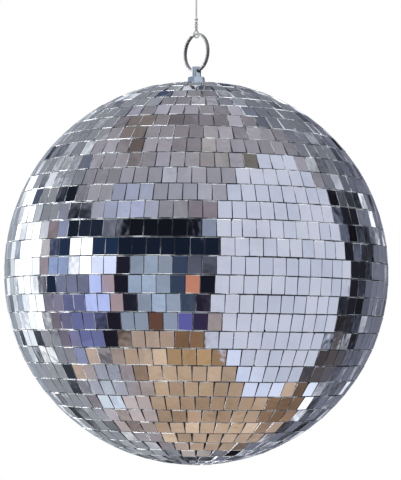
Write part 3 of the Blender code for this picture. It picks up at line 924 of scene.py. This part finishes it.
def add_pin(material):
    """The pin with a chamfered end and its cross hole."""
    low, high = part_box("hanging_pin")
    radius = high.x
    hole_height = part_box("split_ring")[0].z + RING_WIRE_WIDTH / 2
    edge = 0.00035
    profile = [
        (0.0, low.z),
        (radius - edge, low.z),
        (radius, low.z + edge),
        (radius, high.z - edge),
        (radius - edge * 0.4, high.z - edge * 0.15),
        (radius - edge, high.z),
        (0.0, high.z),
    ]
    pin = bpy.data.objects.new("pin_blank", turned("pin_blank", profile, 64, closed=False))
    shape = bmesh.new()
    bmesh.ops.create_cone(
        shape, cap_ends=True, segments=48, radius1=CROSS_HOLE_RADIUS, radius2=CROSS_HOLE_RADIUS,
        depth=8 * radius,
    )
    drill = bpy.data.objects.new("drill", finish_mesh("drill", shape))
    for thing in (pin, drill):
        bpy.context.scene.collection.objects.link(thing)
    drill.location.z = hole_height
    drill.rotation_euler = (0.0, math.pi / 2, HOLE_BEARING)
    cut = pin.modifiers.new("cut", "BOOLEAN")
    cut.object = drill
    soften = pin.modifiers.new("soften", "BEVEL")
    soften.width = 0.00007
    soften.segments = 2
    soften.angle_limit = math.radians(50)
    mesh = bpy.data.meshes.new_from_object(pin.evaluated_get(bpy.context.evaluated_depsgraph_get()))
    for thing in (pin, drill):
        bpy.data.objects.remove(thing, do_unlink=True)
    mesh.name = "pin_body"
    mesh.materials.clear()
    mesh.shade_smooth()
    mesh.set_sharp_from_angle(angle=math.radians(35))
    add_piece("pin_body", mesh, [material], "ball", "zinc", "hanging_pin")


def add_split_ring(bright, dark):
    """Two turns of flat wire with rounded edges, crossing from one coil to the other in a jog.

    The ring's two flat sides take a painted highlight and its inner and outer faces a painted shade: they
    are a lit and a shaded copy of one nickel finish."""
    low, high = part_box("split_ring")
    outside = (high.z - low.z) / 2
    radius = outside - RING_WIRE_WIDTH / 2
    middle = (low.z + high.z) / 2
    jog, span = math.radians(100), math.radians(30)
    start = jog + span / 2
    end = start + 2 * math.tau - span
    jog_start = start + math.tau - span
    edge = 0.00016
    x = RING_WIRE_WIDTH / 2 - edge
    y = RING_WIRE_DEPTH / 2 - edge
    section = []
    for corner_x, corner_y, first in ((1, 1, 0), (-1, 1, 90), (-1, -1, 180), (1, -1, 270)):
        for part in range(4):
            angle = math.radians(first + 30 * part)
            section.append((corner_x * x + edge * math.cos(angle), corner_y * y + edge * math.sin(angle)))
    steps = 320
    places = []
    for step in range(steps + 1):
        bearing = start + (end - start) * step / steps
        share = min(max((bearing - jog_start) / span, 0.0), 1.0)
        side = RING_COIL_PITCH * (share * share * (3 - 2 * share) - 0.5)
        out = Vector((math.cos(bearing), 0.0, math.sin(bearing)))
        places.append((out * radius + Vector((0.0, side, 0.0)), out, Vector((0.0, 1.0, 0.0))))
    mesh = swept("ring_coils", places, section)
    # slot 0, the flat sides, takes the painted highlight, and slot 1, the inner and outer faces, the painted
    # shade
    slots = [0 if abs(face.normal.y) > 0.5 else 1 for face in mesh.polygons]
    mesh.polygons.foreach_set("material_index", slots)
    add_piece(
        "ring_coils", mesh, [bright, dark], "ring", "ring", "split_ring",
        location=(0.0, 0.0, middle), turn=HOLE_BEARING,
    )


# ---------------------------------------------------------------- string

def smooth_route(points, steps=12):
    """A smooth curve through the route's own points."""
    ends = [2 * points[0] - points[1]] + points + [2 * points[-1] - points[-2]]
    route = []
    for before, here, there, after in zip(ends, ends[1:], ends[2:], ends[3:]):
        for step in range(steps):
            t = step / steps
            route.append(
                0.5
                * (
                    2 * here
                    + (there - before) * t
                    + (2 * before - 5 * here + 4 * there - after) * t * t
                    + (3 * here - before - 3 * there + after) * t * t * t
                )
            )
    route.append(points[-1])
    return route


def add_line(material):
    """The straight nylon line."""
    low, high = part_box("string_line")
    curve = bpy.data.curves.new("nylon_line", "CURVE")
    curve.dimensions = "3D"
    curve.bevel_depth = STRING_RADIUS
    curve.bevel_resolution = 6
    curve.use_fill_caps = True
    count = 15
    spline = curve.splines.new("POLY")
    spline.points.add(count - 1)
    for number, point in enumerate(spline.points):
        point.co = (0.0, 0.0, low.z + (high.z - low.z) * number / (count - 1), 1.0)
    return add_piece("nylon_line", curve, [material], "line", "nylon", "string_line")


def add_tie(material):
    """One strand of the twist down, round the ring's wire and up the other strand."""
    ring_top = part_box("split_ring")[1].z - RING_WIRE_WIDTH / 2
    tie_radius = ring_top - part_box("string_tie")[0].z - STRING_RADIUS
    neck = 0.0019       # from the middle of the wire to where the strands start to twist
    twist = 0.0045
    turns = 1.25
    offset = 0.00047    # of each strand from the middle of the twist
    end = 0.0004        # straight stretch inside the wraps
    strand = []
    steps = 12
    for step in range(steps + 1):
        share = step / steps
        angle = math.tau * turns * share
        strand.append(
            Vector((-offset * math.sin(angle), offset * math.cos(angle), neck + twist * share))
        )
    strand.append(strand[-1] + Vector((0.0, 0.0, end)))
    round_wire = [
        Vector((0.0, tie_radius * math.cos(math.pi * k / 4), -tie_radius * math.sin(math.pi * k / 4)))
        for k in range(5)
    ]
    shoulder = Vector((0.0, tie_radius * 0.78, neck * 0.42))
    far_shoulder = Vector((0.0, -shoulder.y, shoulder.z))
    far_strand = [Vector((-p.x, -p.y, p.z)) for p in strand]
    route = smooth_route(strand[::-1] + [shoulder] + round_wire + [far_shoulder] + far_strand, 6)
    mesh = swept("tie_strands", tube_places(route), round_section(STRING_RADIUS, 16))
    return add_piece(
        "tie_strands", mesh, [material], "tie", "nylon", "string_tie",
        location=(0.0, 0.0, ring_top), turn=HOLE_BEARING,
    )


def add_tie_knot(material):
    """Two close wraps of the line's end that bind the strands."""
    low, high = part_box("tie_knot")
    reach = high.x - WRAP_RADIUS
    turns = 2
    height = high.z - low.z - 2 * WRAP_RADIUS
    steps = 28 * turns
    route = []
    for step in range(steps + 1):
        share = step / steps
        angle = math.tau * turns * share
        route.append(Vector((reach * math.cos(angle), reach * math.sin(angle), height * share)))
    mesh = swept("tie_wraps", tube_places(route), round_section(WRAP_RADIUS, 12))
    return add_piece(
        "tie_wraps", mesh, [material], "tie", "nylon", "tie_knot",
        location=(0.0, 0.0, low.z + WRAP_RADIUS),
    )


def add_top_knot(material):
    """An overhand knot pulled tight."""
    low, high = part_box("top_knot")
    half_width = high.x - STRING_RADIUS
    half_depth = high.y - STRING_RADIUS
    half_height = (high.z - low.z) / 2 - STRING_RADIUS
    steps = 96
    route = []
    for step in range(steps + 1):
        angle = math.tau * step / steps
        spread = (2 + math.cos(3 * angle)) / 3
        route.append(
            Vector(
                (
                    spread * math.cos(2 * angle) * half_width,
                    math.sin(3 * angle) * half_depth * 0.75,
                    spread * math.sin(2 * angle) * half_height,
                )
            )
        )
    mesh = swept("line_knot", tube_places(route)[:-1], round_section(STRING_RADIUS, 12), closed=True)
    return add_piece(
        "line_knot", mesh, [material], "line", "nylon", "top_knot",
        location=(0.0, 0.0, (low.z + high.z) / 2),
    )


def add_top_loop(material):
    """The loop that hangs on a hook, drawn out by the ball's weight."""
    low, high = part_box("top_loop")
    height = high.z - low.z - STRING_RADIUS
    half_width = high.x - STRING_RADIUS
    shares = (
        (0.24, 0.0),
        (0.25, 0.06),
        (0.62, 0.27),
        (0.96, 0.54),
        (0.90, 0.79),
        (0.50, 0.95),
        (0.0, 1.0),
    )
    rise = [Vector((-half_width * across, 0.0, height * up)) for across, up in shares]
    fall = [Vector((-point.x, 0.0, point.z)) for point in rise[-2::-1]]
    mesh = swept("line_loop", tube_places(smooth_route(rise + fall)), round_section(STRING_RADIUS, 16))
    return add_piece(
        "line_loop", mesh, [material], "line", "nylon", "top_loop", location=(0.0, 0.0, low.z)
    )


def add_string(material):
    """The whole nylon line, with its ends."""
    line = add_line(material)
    others = [add_tie(material), add_tie_knot(material), add_top_knot(material), add_top_loop(material)]


# ---------------------------------------------------------------- assembly

make_camera()
add_string(nylon_line())
add_world()
add_side_light(-105, 4, 0.5, 20.0)
add_side_light(-30, 80, 0.6, 42.0)
add_side_light(-80, -38, 0.6, 34.0)
add_floor()

# The edges' colours are painted light: the ground edges along each tile's top and bottom get a brighter copy
# with painted glints, and the sides a darker copy with painted shade.
tile_materials = [
    mirror_face(),
    glass_edge("cut_edge_painted_light", (0.08, 0.083, 0.09), (0.27, 0.28, 0.29), (0.62, 0.64, 0.65)),
    cloth_backing(),
    glass_edge("ground_edge_painted_light", (0.10, 0.11, 0.12), (0.42, 0.45, 0.47), (0.90, 0.93, 0.93)),
]
for strip_number, strip_node in enumerate(STRIP_NODES):
    add_strip(strip_number, strip_node, tile_materials)
add_bottom_mirror(tile_materials)

zinc = zinc_plate()
add_pin(zinc)
add_hex_nut("pin_nut", "top_nut", math.radians(15), zinc)
washer_low, washer_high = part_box("top_washer")
washer_mesh = turned(
    "seat_washer",
    rounded_profile(WASHER_BORE_RADIUS, washer_high.x, washer_low.z, washer_high.z, 0.00012),
    96,
    closed=True,
)
add_piece("seat_washer", washer_mesh, [zinc], "ball", "zinc", "top_washer")
# one nickel finish in a lit copy with a painted highlight and a shaded copy with painted shade
painted_lit_wire = ring_nickel("ring_painted_lit", (0.44, 0.44, 0.43), (0.56, 0.56, 0.55))
painted_shade_wire = ring_nickel("ring_painted_shade", (0.095, 0.092, 0.078), (0.21, 0.205, 0.18))
add_split_ring(painted_lit_wire, painted_shade_wire)

# out of sight, the CAD shapes stay and only take a finish
core = core_plastic()
inner_finishes = {"core_upper": core, "core_lower": core}
inner_finishes.update({"inner_plate": zinc, "inner_washer": zinc, "inner_nut": zinc})
for inner_node, finish in inner_finishes.items():
    frame["nodes"][inner_node].data.materials.clear()
    frame["nodes"][inner_node].data.materials.append(finish)

bpy.context.scene.view_settings.view_transform = "Standard"
